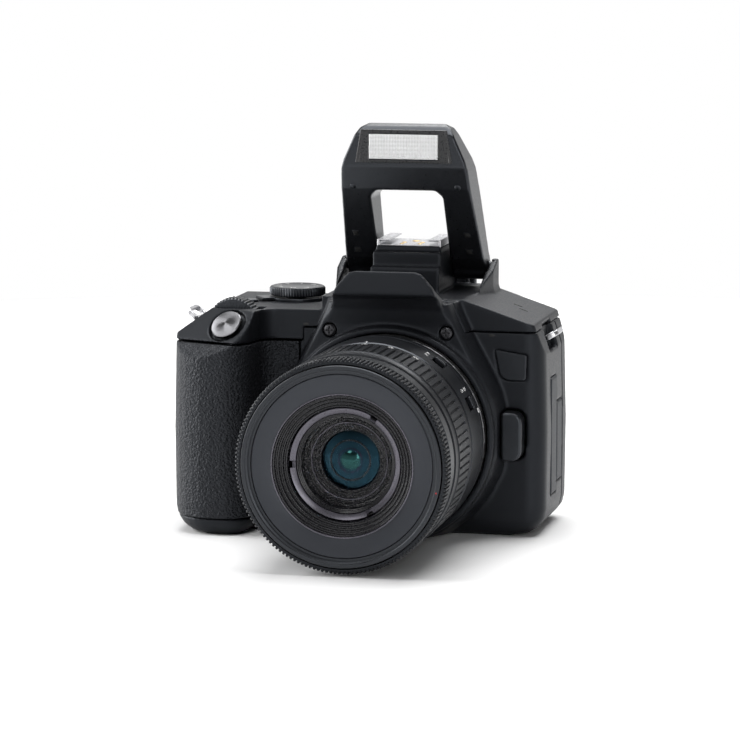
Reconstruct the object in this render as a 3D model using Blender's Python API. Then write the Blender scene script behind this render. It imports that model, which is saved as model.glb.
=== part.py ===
"""Compact single-lens reflex camera with a zoom lens and a raised flash, as separate solids.

Frame: the origin lies on the base plane, straight under the centre of the image sensor.
+X runs to the terminal side, -Y out of the lens, +Z up.
The named sizes are millimetres; every mesh is made in metres.
"""

import math

import bmesh
import bpy
from mathutils import Matrix, Vector

MM = 0.001

# Body
BODY_WIDTH = 122.4
BODY_RIGHT = 48.8
BODY_LEFT = BODY_RIGHT - BODY_WIDTH
FRONT_Y = -28.0
BACK_Y = 17.0
TOP_Z = 72.0
HUMP_Z = 76.5
RIM_Z = 0.4
WALL = 2.0
SEAM = 0.3
GRIP_WIDTH = 28.1
GRIP_FRONT = FRONT_Y - 18.0
GRIP_TAPER = 3.0
SIDE_FILLET = 9.0
FACE_FILLET = 3.0
FILLET_HEIGHT = 8.0
CAVITY_BACK = BACK_Y - 5.0
CAVITY_TOP = TOP_Z - WALL
GRIP_CAP_Z = 62.2
TOP_SPLIT_Z = 66.5
SIDE_SPLIT_Y = 6.0
FRONT_SLAB_Y = -33.0
BASE_THICK = 2.4
RUBBER_THICK = 1.2

# Lens mount and lens
AXIS_Z = 33.9
FLANGE_Y = -44.0
BOSS_RADIUS = 35.0
BELL_FRONT = FLANGE_Y + 5.5
BOSS_WALL = 2.1
THROAT_RADIUS = BOSS_RADIUS - BOSS_WALL
LENS_RADIUS = 33.2
LENS_LENGTH = 62.4
LENS_FRONT = FLANGE_Y - LENS_LENGTH
ZOOM_REAR = FLANGE_Y - 22.1
ZOOM_FRONT = FLANGE_Y - 46.6
RING_STEPS = 40
PIN_X = THROAT_RADIUS - 2.7
PIN_RADIUS = 1.1

# Flash
HINGE_Y = 11.0
HINGE_Z = 83.0
FLASH_HALF = 23.3
FLASH_OPENING = 11.9
TRUNNION_RADIUS = 1.7

# Controls
BUTTON_RISE = 0.9
MODE_DIAL_X = BODY_LEFT + 34.9
MODE_DIAL_RADIUS = 9.2
MAIN_DIAL_X = BODY_LEFT + 20.6
MAIN_DIAL_Y = FRONT_Y + 1.5
MAIN_DIAL_RADIUS = 9.0
SCREEN_LEFT = BODY_LEFT + 40.6
SCREEN_RIGHT = BODY_RIGHT - 6.4
SCREEN_LOW = 6.0
SCREEN_HIGH = 60.4
SCREEN_AXIS_X = SCREEN_RIGHT + 2.1
SCREEN_AXIS_Y = BACK_Y + 1.8
RELEASE_X = (35.9, 42.6)
DOOR_EDGE_X = BODY_LEFT + 27.3
DOOR_BACK_Y = -1.0
SOCKET_Y = -13.0

# Colour, roughness and metallic value of each kind of surface
FINISHES = {
    "plastic": ((0.0125, 0.0128, 0.0135), 0.46, 0.0),
    "gloss": ((0.010, 0.0102, 0.0108), 0.30, 0.0),
    "rubber": ((0.0165, 0.0168, 0.0175), 0.58, 0.0),
    "steel": ((0.62, 0.62, 0.63), 0.26, 1.0),
    "dark_steel": ((0.05, 0.05, 0.055), 0.35, 0.7),
    "plate": ((0.032, 0.033, 0.035), 0.34, 0.0),
    "glass": ((0.30, 0.34, 0.40), 0.05, 0.0),
    "screen": ((0.006, 0.006, 0.0075), 0.06, 0.0),
    "mirror": ((0.82, 0.83, 0.85), 0.05, 1.0),
    "board": ((0.012, 0.05, 0.022), 0.45, 0.0),
    "diffuser": ((0.90, 0.91, 0.92), 0.20, 0.0),
}
FINISH_NAMES = {
    "gloss": ("mode_dial", "main_dial", "power_switch", "release_button", "lens_barrel"),
    "rubber": (
        "grip_rubber", "zoom_ring", "focus_ring", "eyecup", "terminal_cover_front",
        "terminal_cover_rear",
    ),
    "steel": (
        "hot_shoe", "shutter_button", "strap_lug_left", "strap_lug_right", "body_mount_ring",
        "lens_bayonet", "tripod_socket", "lock_pin",
    ),
    "dark_steel": ("front_screw_left", "front_screw_right"),
    "plate": ("badge_plate",),
    "glass": ("front_element", "rear_element", "eyepiece_lens"),
    "screen": ("screen_glass", "image_sensor"),
    "mirror": ("reflex_mirror", "flash_tube"),
    "board": ("main_board",),
    "diffuser": ("flash_window",),
}

PLANE_AXES = {"X": (1, 2, 0), "Y": (0, 2, 1), "Z": (0, 1, 2)}


def clear_scene():
    for item in list(bpy.data.objects):
        bpy.data.objects.remove(item)


def finish_mesh(bm, name):
    bmesh.ops.recalc_face_normals(bm, faces=bm.faces)
    if bm.calc_volume(signed=True) < 0:
        bmesh.ops.reverse_faces(bm, faces=bm.faces)
    mesh = bpy.data.meshes.new(name)
    bm.to_mesh(mesh)
    bm.free()
    item = bpy.data.objects.new(name, mesh)
    bpy.context.scene.collection.objects.link(item)
    return item


def loft(loops, name="tool"):
    """A closed solid through loops of equal length, in millimetres."""
    bm = bmesh.new()
    rings = [[bm.verts.new(Vector(point) * MM) for point in loop] for loop in loops]
    for low, high in zip(rings, rings[1:]):
        for i in range(len(low)):
            j = (i + 1) % len(low)
            bm.faces.new((low[i], low[j], high[j], high[i]))
    bm.faces.new(rings[0])
    bm.faces.new(rings[-1])
    return finish_mesh(bm, name)


def at_level(outline, axis, level):
    u, v, w = PLANE_AXES[axis]
    loop = []
    for point in outline:
        place = [0.0, 0.0, 0.0]
        place[u] = point[0]
        place[v] = point[1]
        place[w] = level
        loop.append(place)
    return loop


def prism(outline, axis, low, high, name="tool"):
    return loft([at_level(outline, axis, low), at_level(outline, axis, high)], name)


def block(x, y, z, name="tool"):
    outline = [(x[0], y[0]), (x[1], y[0]), (x[1], y[1]), (x[0], y[1])]
    return prism(outline, "Z", z[0], z[1], name)


def rounded(corners, steps=4):
    """Outline with each (u, v, radius) corner turned into an arc of the same number of points."""
    outline = []
    count = len(corners)
    for i, (u, v, radius) in enumerate(corners):
        here = Vector((u, v))
        to_last = (Vector(corners[i - 1][:2]) - here).normalized()
        to_next = (Vector(corners[(i + 1) % count][:2]) - here).normalized()
        if radius <= 0:
            outline.append((u, v))
            continue
        half = to_last.angle(to_next) / 2
        start = here + to_last * (radius / math.tan(half))
        end = here + to_next * (radius / math.tan(half))
        middle = here + (to_last + to_next).normalized() * (radius / math.sin(half))
        first = start - middle
        sweep = first.angle_signed(end - middle)
        for k in range(steps + 1):
            turned_point = Matrix.Rotation(-sweep * k / steps, 2) @ first
            outline.append(tuple(middle + turned_point))
    return outline


def rounded_box(x, z, radius, steps=3):
    corners = [(x[0], z[0]), (x[1], z[0]), (x[1], z[1]), (x[0], z[1])]
    return rounded([(u, v, radius) for u, v in corners], steps)


def turned(profile, origin, direction, steps=RING_STEPS, name="tool"):
    """Revolves (radius, height) pairs round a line; a profile that starts on the axis is left open."""
    bm = bmesh.new()
    points = [bm.verts.new((r * MM, 0, h * MM)) for r, h in profile]
    edges = [bm.edges.new(pair) for pair in zip(points, points[1:])]
    if profile[0][0] > 0:
        edges.append(bm.edges.new((points[-1], points[0])))
    bmesh.ops.spin(
        bm, geom=points + edges, cent=(
            0, 0, 0,
        ), axis=(0, 0, 1), angle=2 * math.pi, steps=steps, use_merge=True
    )
    bmesh.ops.remove_doubles(bm, verts=bm.verts, dist=0.002 * MM)
    turn = Vector(direction).to_track_quat("Z", "Y").to_matrix().to_4x4()
    bm.transform(Matrix.Translation(Vector(origin) * MM) @ turn)
    return finish_mesh(bm, name)


def lens_turned(profile, name="tool", steps=RING_STEPS):
    """Revolves (radius, world Y) pairs round the lens axis."""
    return turned(profile, (0, 0, AXIS_Z), (0, 1, 0), steps, name)


def bake(item):
    bpy.context.view_layer.update()
    graph = bpy.context.evaluated_depsgraph_get()
    mesh = bpy.data.meshes.new_from_object(item.evaluated_get(graph))
    item.modifiers.clear()
    old = item.data
    item.data = mesh
    bpy.data.meshes.remove(old)
    return item


def combine(item, tool, operation, keep_tool=False):
    change = item.modifiers.new("change", "BOOLEAN")
    change.object = tool
    change.operation = operation
    change.solver = "EXACT"
    bake(item)
    if not keep_tool:
        bpy.data.objects.remove(tool)
    return item


def cut(item, *tools):
    for tool in tools:
        combine(item, tool, "DIFFERENCE")
    return item


def add(item, *tools):
    for tool in tools:
        combine(item, tool, "UNION")
    return item


def keep(item, tool):
    return combine(item, tool, "INTERSECT")


def copy_of(item, name):
    twin = item.copy()
    twin.data = item.data.copy()
    twin.name = name
    bpy.context.scene.collection.objects.link(twin)
    return twin


def named(item, name):
    item.name = name
    item.data.name = name
    return item


def bevel(item, width, segments=2):
    edge = item.modifiers.new("edge", "BEVEL")
    edge.width = width * MM
    edge.segments = segments
    edge.limit_method = "ANGLE"
    edge.angle_limit = math.radians(40)
    return bake(item)


def set_origin(item, point):
    place = Vector(point) * MM
    item.data.transform(Matrix.Translation(-place))
    item.location = place
    return item


def beyond(point, normal):
    """A large block that fills the half space past a plane."""
    size = 300
    item = block((-size, size), (-size, size), (0, size))
    turn = Vector(normal).to_track_quat("Z", "Y").to_matrix().to_4x4()
    item.data.transform(Matrix.Translation(Vector(point) * MM) @ turn)
    return item


def plan_outline(side, face, back):
    """The body seen from above, pulled in by the given amounts."""
    left = BODY_LEFT + side
    right = BODY_RIGHT - side
    inner = BODY_LEFT + GRIP_WIDTH - face
    corners = [
        (left, BACK_Y - back, max(5 - face, 1.5)),
        (left + GRIP_TAPER, GRIP_FRONT + face, max(14 - face - side * 0.6, 2)),
        (inner, GRIP_FRONT + face, max(9 - face - side * 0.2, 2)),
        (inner + 2.5, FRONT_Y + face, 6 + face),
        (right, FRONT_Y + face, max(6 - face, 2)),
        (right, BACK_Y - back, max(5 - face, 1.5)),
    ]
    return rounded(corners, 7)


def outer_form(inset, low=RIM_Z, high=HUMP_Z, back=None):
    """The moulded body below the hump, pulled in evenly."""
    back_inset = inset if back is None else back
    loops = []
    for degrees in (0, 22, 45, 67, 90):
        turn = math.radians(degrees)
        pull = 1 - math.sin(turn)
        level = low + FILLET_HEIGHT * (1 - math.cos(turn))
        sides = inset + SIDE_FILLET * pull
        faces = inset + FACE_FILLET * pull
        loops.append(at_level(plan_outline(sides, faces, back_inset + FACE_FILLET * pull), "Z", level))
    for level, pull in ((AXIS_Z, -0.3), (high, 0.7)):
        loops.append(at_level(plan_outline(inset + pull, inset, back_inset), "Z", level))
    form = loft(loops)
    for point, normal in (
        ((BODY_LEFT + 20.6, FRONT_Y - 10, TOP_Z - 4.5), (-0.25, -0.66, 0.70)),
        ((BODY_LEFT + 6.8, 0, TOP_Z - 5), (-0.59, 0, 0.81)),
        ((BODY_RIGHT - 10.8, 0, TOP_Z - 0.8), (0.32, 0, 0.95)),
        ((BODY_RIGHT - 1.2, 0, TOP_Z - 10), (0.95, 0, 0.31)),
    ):
        unit = Vector(normal).normalized()
        cut(form, beyond(Vector(point) - unit * inset, unit))
    cut(form, block((BODY_LEFT - 20, -24), (-90, 60), (TOP_Z - inset, TOP_Z + 40)))
    return form


def curve(points, count):
    """Points along a cubic curve."""
    spots = []
    for k in range(count + 1):
        t = k / count
        weights = ((1 - t) ** 3, 3 * t * (1 - t) ** 2, 3 * t * t * (1 - t), t**3)
        spots.append(
            (
                sum(w * p[0] for w, p in zip(weights, points)),
                sum(w * p[1] for w, p in zip(weights, points)),
            )
        )
    return spots


def bell_outline(grow):
    """The front of the body round the lens: a circle that rises into the hump."""
    radius = BOSS_RADIUS + 0.4 + grow
    turn = math.radians(20)
    meet = (radius * math.cos(turn), AXIS_Z + radius * math.sin(turn))
    flank = [
        (17 + grow, AXIS_Z + 48.1),
        (20.5 + grow, AXIS_Z + 34),
        (meet[0] - 10 * math.sin(turn), meet[1] + 10 * math.cos(turn)),
        meet,
    ]
    right = curve(flank, 8)
    for degrees in range(8, -91, -14):
        angle = math.radians(degrees)
        right.append((radius * math.cos(angle), AXIS_Z + radius * math.sin(angle)))
    left = [(-u, v) for u, v in reversed(right) if u > 0.01]
    return right + left


def bell_form():
    loops = []
    for level, grow in (
        (BELL_FRONT + 14, 3.0), (BELL_FRONT + 2.5, 0.9), (BELL_FRONT + 0.7, 0.4), (BELL_FRONT, -0.5),
    ):
        loops.append(at_level(bell_outline(grow), "Y", level))
    bell = loft(loops)
    boss = [
        (20, BELL_FRONT + 4),
        (BOSS_RADIUS + 0.1, BELL_FRONT + 4),
        (BOSS_RADIUS, BELL_FRONT - 2.4),
        (BOSS_RADIUS - 0.7, BELL_FRONT - 3.1),
        (20, BELL_FRONT - 3.1),
    ]
    add(bell, lens_turned(boss, steps=72))
    cut(bell, block((-90, 90), (FLANGE_Y + 2.0, 60), (HUMP_Z - 0.4, 160)))
    return cut(bell, block((-90, 90), (-90, 90), (-40, RIM_Z)))


def visor_form():
    """The block over the lens that carries a bare plate, hollowed below it."""
    side = [
        (FLANGE_Y - 1.4, 79.4),
        (FLANGE_Y + 0.4, 86.6),
        (FLANGE_Y + 2.0, 86.8),
        (FLANGE_Y + 2.1, HUMP_Z + 4.5),
        (FLANGE_Y + 8.0, HUMP_Z + 1.0),
        (FLANGE_Y + 8.0, 62),
        (BELL_FRONT + 1, 62),
        (BELL_FRONT - 0.2, 70),
        (BELL_FRONT - 1.2, 74.5),
        (FLANGE_Y + 1.6, 77.8),
    ]
    visor = prism(side, "X", -26, 26)
    front = [(15.4, 82), (16.9, 79), (17.6, 76), (20.2, 70), (24.4, 62)]
    top = [(-8, 87), (8, 87), (11.6, 86.2)]
    outline = top + front + [(-u, v) for u, v in reversed(front)] + [(-11.6, 86.2)]
    return keep(visor, prism(outline, "Y", -60, -20))


def hump_form():
    """Side walls of the hump, flared into the right shoulder, with hinge ears."""
    loops = []
    for level, flare in ((64, 7.5), (70, 7.0), (71.5, 4.0), (73, 1.8), (74.5, 0.6), (HUMP_Z, 0)):
        outline = [
            (15.5, -38.0),
            (20.0 + flare * 0.1, -29),
            (26.3 + flare, 4),
            (26.3 + flare, 14),
            (23 + flare, BACK_Y + 1),
            (-23, BACK_Y + 1),
            (-26.3, 14),
            (-26.3, 4),
            (-20.0, -29),
            (-15.5, -38.0),
        ]
        loops.append(at_level(outline, "Z", level))
    hump = loft(loops)
    well = [(14, -36), (18.0, -29), (23.9, 4), (23.9, HINGE_Y + 4.9)]
    outline = well + [(-u, v) for u, v in reversed(well)]
    ears = prism([(26.2, 3.7), (26.2, 13.7), (24.4, BACK_Y), (-24.4, BACK_Y), (-26.2, 13.7), (-26.2, 3.7),
                  (-19.9, -28.6), (19.9, -28.6)], "Z", HUMP_Z - 1, HINGE_Z + 2.4)
    cut(ears, block((-23.5, 23.5), (-90, 90), (HUMP_Z - 9, HINGE_Z + 9)))
    cut(ears, beyond((0, -13, HUMP_Z - 0.5), (0, -0.36, 0.93)))
    cut(ears, beyond((0, HINGE_Y + 4, HINGE_Z + 1.0), (0, 0.7, 0.7)))
    add(hump, ears)
    cut(hump, prism(outline, "Z", TOP_Z + 0.5, HINGE_Z + 10))
    cut(hump, trimmed_socket(1), trimmed_socket(-1))
    pedestal = block((-11.3, 11.3), (-13, BACK_Y - 0.2), (TOP_Z - 2, 84.6))
    add(hump, pedestal)
    add(hump, block((-11.2, 11.2), (-10, BACK_Y - 1.1), (84.2, 89.3)))
    add(hump, block((-10.2, 10.2), (-6.5, BACK_Y - 2), (89.0, 90.3)))
    add(hump, block((-10.7, 10.7), (-7.6, -6.3), (88.6, 91.3)))
    eyepiece = bevel(
        prism(rounded_box((-15.5, 15.5), (67, 84.5), 3), "Y", BACK_Y - 0.8, BACK_Y + 2.5), 0.8,
    )
    add(hump, eyepiece)
    return hump


def trimmed_socket(side):
    """A blind hole in one hinge ear."""
    profile = [(0, 23), (TRUNNION_RADIUS + 0.3, 23), (TRUNNION_RADIUS + 0.3, 25.4), (0, 25.4)]
    return turned(profile, (0, HINGE_Y, HINGE_Z), (side, 0, 0), 12)


def top_zone(grow):
    """The space of the top cover, wider by grow on every side."""
    zone = block((-30.5 - grow, 90), (FRONT_SLAB_Y - grow, 90), (TOP_SPLIT_Z - grow, 160))
    add(zone, block((-120, -30), (-90, 90), (GRIP_CAP_Z - grow, 160)))
    return zone


def rubber_zone(shrink, top):
    """The space of the grip skin."""
    return block((BODY_LEFT - 10, -31.2 - shrink), (-90, SIDE_SPLIT_Y - 1 - shrink), (5.2 + shrink, top))


def base_outline(grow):
    return plan_outline(SIDE_FILLET + 0.8 - grow, FACE_FILLET + 0.8 - grow, FACE_FILLET + 0.8 - grow)


def build_shells():
    body = outer_form(0)
    add(body, bell_form(), hump_form(), visor_form())
    rear_pocket = prism(
        rounded_box((SCREEN_LEFT - 0.4, BODY_RIGHT - 1.6), (SCREEN_LOW - 0.4, SCREEN_HIGH + 0.4), 2),
        "Y",
        BACK_Y - 2.8,
        BACK_Y + 9,
    )
    cut(body, rear_pocket)
    cavity = outer_form(WALL, low=BASE_THICK - 0.6, high=HUMP_Z, back=BACK_Y - CAVITY_BACK)
    cut(cavity, block((-120, 120), (-120, 120), (CAVITY_TOP, 120)))
    cut(body, cavity)
    lug_wall = block((BODY_RIGHT - 6.5, BODY_RIGHT - 3.2), (-17.5, 1.5), (TOP_Z - 15.5, TOP_Z - 4.5))
    add(body, lug_wall)
    throat = [(0, -60), (THROAT_RADIUS, -60), (THROAT_RADIUS, FRONT_Y + 4), (0, FRONT_Y + 4)]
    cut(body, lens_turned(throat, steps=58))
    cut(body, prism(base_outline(SEAM), "Z", -5, BASE_THICK + SEAM))
    cut(body, block((-9.3, 9.3), (-8, 13.5), (60, 87)))
    cut(body, prism(rounded_box((-8.2, 8.2), (73.8, 82.2), 1), "Y", 13, BACK_Y + 9))

    top = combine(copy_of(body, "top_cover"), top_zone(0), "INTERSECT")
    lower = combine(body, top_zone(SEAM), "DIFFERENCE")
    rear = combine(
        copy_of(lower, "rear_cover"), block(
            (-150, 150), (SIDE_SPLIT_Y + SEAM, 90), (-50, 150),
        ), "INTERSECT"
    )
    front = combine(lower, block((-150, 150), (SIDE_SPLIT_Y, 90), (-50, 150)), "DIFFERENCE")
    named(front, "front_cover")

    shell = outer_form(-3)
    cut(shell, outer_form(RUBBER_THICK + SEAM, RIM_Z - 0.9, HUMP_Z + 0.9))
    keep(shell, rubber_zone(0, GRIP_CAP_Z + 1))
    cut(front, shell)
    rubber = outer_form(0)
    cut(rubber, outer_form(RUBBER_THICK, RIM_Z - 0.9, HUMP_Z + 0.9))
    keep(rubber, rubber_zone(SEAM, GRIP_CAP_Z - 2 * SEAM))
    named(rubber, "grip_rubber")
    return front, top, rear


def side_pocket(y, z, depth):
    return block((BODY_RIGHT - depth, BODY_RIGHT + 5), y, z)


def build_base():
    base = prism(base_outline(0), "Z", 0, BASE_THICK, "bottom_cover")
    door = copy_of(base, "battery_door")
    axis = (DOOR_EDGE_X + 1.2, 0, BASE_THICK / 2)
    cut(base, block((-150, DOOR_EDGE_X + 2.7), (-150, DOOR_BACK_Y + SEAM), (-5, 9)))
    keep(door, block((-150, axis[0]), (-150, DOOR_BACK_Y), (-5, 9)))
    roll_end = FRONT_Y + 7
    knuckle = [(0, roll_end), (BASE_THICK / 2, roll_end), (BASE_THICK / 2, DOOR_BACK_Y), (0, DOOR_BACK_Y)]
    cut(door, block((axis[0] - 1.6, axis[0] + 9), (-150, roll_end), (-5, 9)))
    roll = turned(knuckle, axis, (0, 1, 0), 12)
    add(door, roll)
    latch_x = BODY_LEFT + SIDE_FILLET + 5.5
    cut(door, block((latch_x - 2.2, latch_x + 5.2), (-25, -13), (-1, 1.3)))
    latch = bevel(
        block((latch_x - 1.9, latch_x + 1.9), (-24.6, -13.4), (0.15, 1.0), "battery_latch"), 0.2, 1,
    )
    set_origin(latch, (latch_x, -19, 0.6))
    set_origin(door, axis)
    socket_hole = [(0, -5), (7.3, -5), (7.3, 9), (0, 9)]
    cut(base, turned(socket_hole, (0, SOCKET_Y, 0), (0, 0, 1), 24))
    socket = turned(
        [
            (0, 5.8), (3.18, 5.8), (3.18, 0.2), (7.0, 0.2), (7.0, BASE_THICK + 0.4),
            (8.5, BASE_THICK + 0.4), (8.5, 7), (0, 7),
        ],
        (0, SOCKET_Y, 0), (0, 0, 1), 24, "tripod_socket",
    )
    return base, door, socket


def build_rubber_flaps(front):
    for name, y, z in (
        ("terminal_cover_front", (-15.0, -5.2), (12, 50)),
        ("terminal_cover_rear", (-4.6, SIDE_SPLIT_Y - 1.4), (15, 41)),
    ):
        cut(front, side_pocket((y[0] - 0.25, y[1] + 0.25), (z[0] - 0.25, z[1] + 0.25), 1.8))
        flap = bevel(block((BODY_RIGHT - 1.5, BODY_RIGHT + 0.3), y, z, name), 0.4, 1)
        set_origin(flap, (BODY_RIGHT + 0.3, y[0], (z[0] + z[1]) / 2))


def lug_form(name, origin, tilt):
    """A flat metal loop for the strap, standing out along a tilted line."""
    plate = prism(rounded_box((-6.2, 6.2), (-2.5, 3.2), 2), "Z", -0.8, 0.8, name)
    cut(plate, prism(rounded_box((-4.8, 4.8), (-0.9, 1.9), 1.2), "Z", -4, 4))
    across = Vector((0, 1, 0))
    out = Vector((math.cos(tilt), 0, math.sin(tilt)))
    up = across.cross(out)
    turn = Matrix((across, out, up)).transposed().to_4x4()
    plate.data.transform(Matrix.Translation(Vector(origin) * MM) @ turn)
    return plate


def build_lugs(front, top):
    right = lug_form("strap_lug_right", (BODY_RIGHT - 1.0, -8, TOP_Z - 8.6), math.radians(30))
    left = lug_form("strap_lug_left", (BODY_LEFT + 3.1, -8, TOP_Z - 4.9), math.radians(140))
    for x, z, cover in ((BODY_RIGHT - 2, TOP_Z - 8.6, front), (BODY_RIGHT - 2, TOP_Z - 8.6, top)):
        cut(cover, block((x - 2.0, x + 9), (-15.5, -0.5), (z - 4.6, z + 4.2)))
    wedge = prism([(-8, -0.2), (8, -0.2), (8, 9), (-8, 9)], "Y", -14.6, -1.4)
    turn = Matrix.Rotation(math.radians(-(140 - 90)), 4, "Y")
    wedge.data.transform(Matrix.Translation(Vector((BODY_LEFT + 6.6, 0, TOP_Z - 6.4)) * MM) @ turn)
    cut(top, wedge)
    return right, left


def build_front_details(front):
    screws = []
    for name, x in (("front_screw_left", -19), ("front_screw_right", 19)):
        z = AXIS_Z + 33
        hole = [(0, -60), (2.3, -60), (2.3, BELL_FRONT + 2), (0, BELL_FRONT + 2)]
        cut(front, turned(hole, (x, 0, z), (0, 1, 0), 16))
        head = [
            (0, BELL_FRONT - 0.4), (1.4, BELL_FRONT - 0.3), (2.0, BELL_FRONT + 0.3),
            (2.0, BELL_FRONT + 1.7), (0, BELL_FRONT + 1.7),
        ]
        screw = turned(head, (x, 0, z), (0, 1, 0), 16, name)
        slot = block((-1.2, 1.2), (-1, 0.5), (-0.25, 0.25))
        add(slot, block((-0.25, 0.25), (-1, 0.5), (-1.2, 1.2)))
        slot.data.transform(Matrix.Translation(Vector((x, BELL_FRONT, z)) * MM))
        screws.append(cut(screw, slot))
    badge = [(32.4, 61, 0.6), (43.4, 59.4, 0.6), (43.2, 50.6, 1.2), (34.4, 50.6, 3.5)]
    cut(front, prism(rounded(badge), "Y", -60, FRONT_Y + 0.9))
    small = [(u + (SEAM if u < 40 else -SEAM), v + (SEAM if v < 55 else -SEAM), r) for u, v, r in badge]
    prism(rounded(small), "Y", FRONT_Y + 0.1, FRONT_Y + 0.6, "badge_plate")

    near, far = RELEASE_X
    low, high = AXIS_Z - 8.2, AXIS_Z + 7.4
    release = [(near, low, 1.2), (far, low, 3.2), (far, high, 3.2), (near, high, 1.2)]
    pod = rounded(
        [(32, low - 3, 1), (far + 3.6, low - 3, 6.4), (far + 3.6, high + 3, 6.4), (32, high + 3, 1)], 6
    )
    pod_solid = bevel(prism(pod, "Y", FRONT_Y - 3.0, FRONT_Y + 4.5), 1.2)
    cut(pod_solid, lens_turned([(0, -60), (BOSS_RADIUS - 0.5, -60), (BOSS_RADIUS - 0.5, 0), (0, 0)]))
    add(front, pod_solid)
    wide = [(u + (0.4 if u > 37 else -0.4), v + (0.4 if v > AXIS_Z else -0.4), r) for u, v, r in release]
    cut(front, prism(rounded(wide, 4), "Y", -60, FRONT_Y + 9))
    button = prism(rounded(release, 4), "Y", FRONT_Y - 6.4, FRONT_Y + 0.6, "release_button")
    bevel(button, 0.7)
    set_origin(button, (39, FRONT_Y - 3, AXIS_Z))
    return screws


def build_mount():
    outer = THROAT_RADIUS - 0.4
    ring = [
        (outer - 5.7, FLANGE_Y), (outer, FLANGE_Y), (outer, FLANGE_Y + 3), (outer - 3, FLANGE_Y + 3),
        (outer - 3, FLANGE_Y + 1.6), (outer - 5.7, FLANGE_Y + 1.6),
    ]
    mount = lens_turned(ring, "body_mount_ring")
    pin_hole = [(0, -50), (PIN_RADIUS + 0.3, -50), (PIN_RADIUS + 0.3, -36), (0, -36)]
    cut(mount, turned(pin_hole, (PIN_X, 0, AXIS_Z), (0, 1, 0), 10))
    box = block(
        (-20.5, 20.5), (FLANGE_Y + 5, FRONT_Y + 19.5), (AXIS_Z - 18.5, AXIS_Z + 18.5), "mirror_box",
    )
    add(
        box,
        lens_turned(
            [(0, FLANGE_Y + 3.3), (outer, FLANGE_Y + 3.3), (outer, FLANGE_Y + 5.6), (0, FLANGE_Y + 5.6)],
        ),
    )
    cut(box, block((-17.6, 17.6), (-60, 0), (AXIS_Z - 15.6, AXIS_Z + 15.6)))
    cut(box, block((-15, 15), (FLANGE_Y + 9, FRONT_Y + 16), (AXIS_Z, AXIS_Z + 30)))
    cut(box, turned(pin_hole, (PIN_X, 0, AXIS_Z), (0, 1, 0), 10))
    pin = [
        (0, FLANGE_Y - 1.2), (PIN_RADIUS - 0.3, FLANGE_Y - 1.2), (PIN_RADIUS, FLANGE_Y - 0.9),
        (PIN_RADIUS, FLANGE_Y + 3.0), (0, FLANGE_Y + 3.0),
    ]
    turned(pin, (PIN_X, 0, AXIS_Z), (0, 1, 0), 10, "lock_pin")
    mirror = block((-17.3, 17.3), (-23.5, 0), (-0.8, 0.8), "reflex_mirror")
    hinge = (0, FRONT_Y + 17.5, AXIS_Z + 13.2)
    mirror.data.transform(Matrix.Rotation(math.radians(45), 4, "X"))
    mirror.location = Vector(hinge) * MM
    shutter_low = FRONT_Y + 19.8
    shutter = block((-20, 20), (shutter_low, shutter_low + 4), (AXIS_Z - 17, AXIS_Z + 17), "shutter_unit")
    cut(shutter, block((-11.6, 11.6), (-60, 60), (AXIS_Z - 7.8, AXIS_Z + 7.8)))
    sensor_y = shutter_low + 4.3
    block((-14, 14), (sensor_y, sensor_y + 3.5), (AXIS_Z - 11, AXIS_Z + 11), "image_sensor")
    board_y = sensor_y + 3.8
    block((-40, 40), (board_y, board_y + 1.6), (8, 55), "main_board")
    prism(
        [(-9, 58), (9, 58), (9, 76), (6, 86.6), (-6, 86.6), (-9, 76)], "Y", -7.6, 11.6, "pentamirror",
    )
    prism(rounded_box((-7.9, 7.9), (74.1, 81.9), 0.9), "Y", 15.6, 17.2, "eyepiece_lens")
    return mount


def build_battery():
    left = BODY_LEFT + 9.5
    battery = bevel(
        block((left, left + 14), (GRIP_FRONT + 9, GRIP_FRONT + 41), (BASE_THICK + 0.6, 53), "battery"),
        0.8,
    )
    return battery


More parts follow.
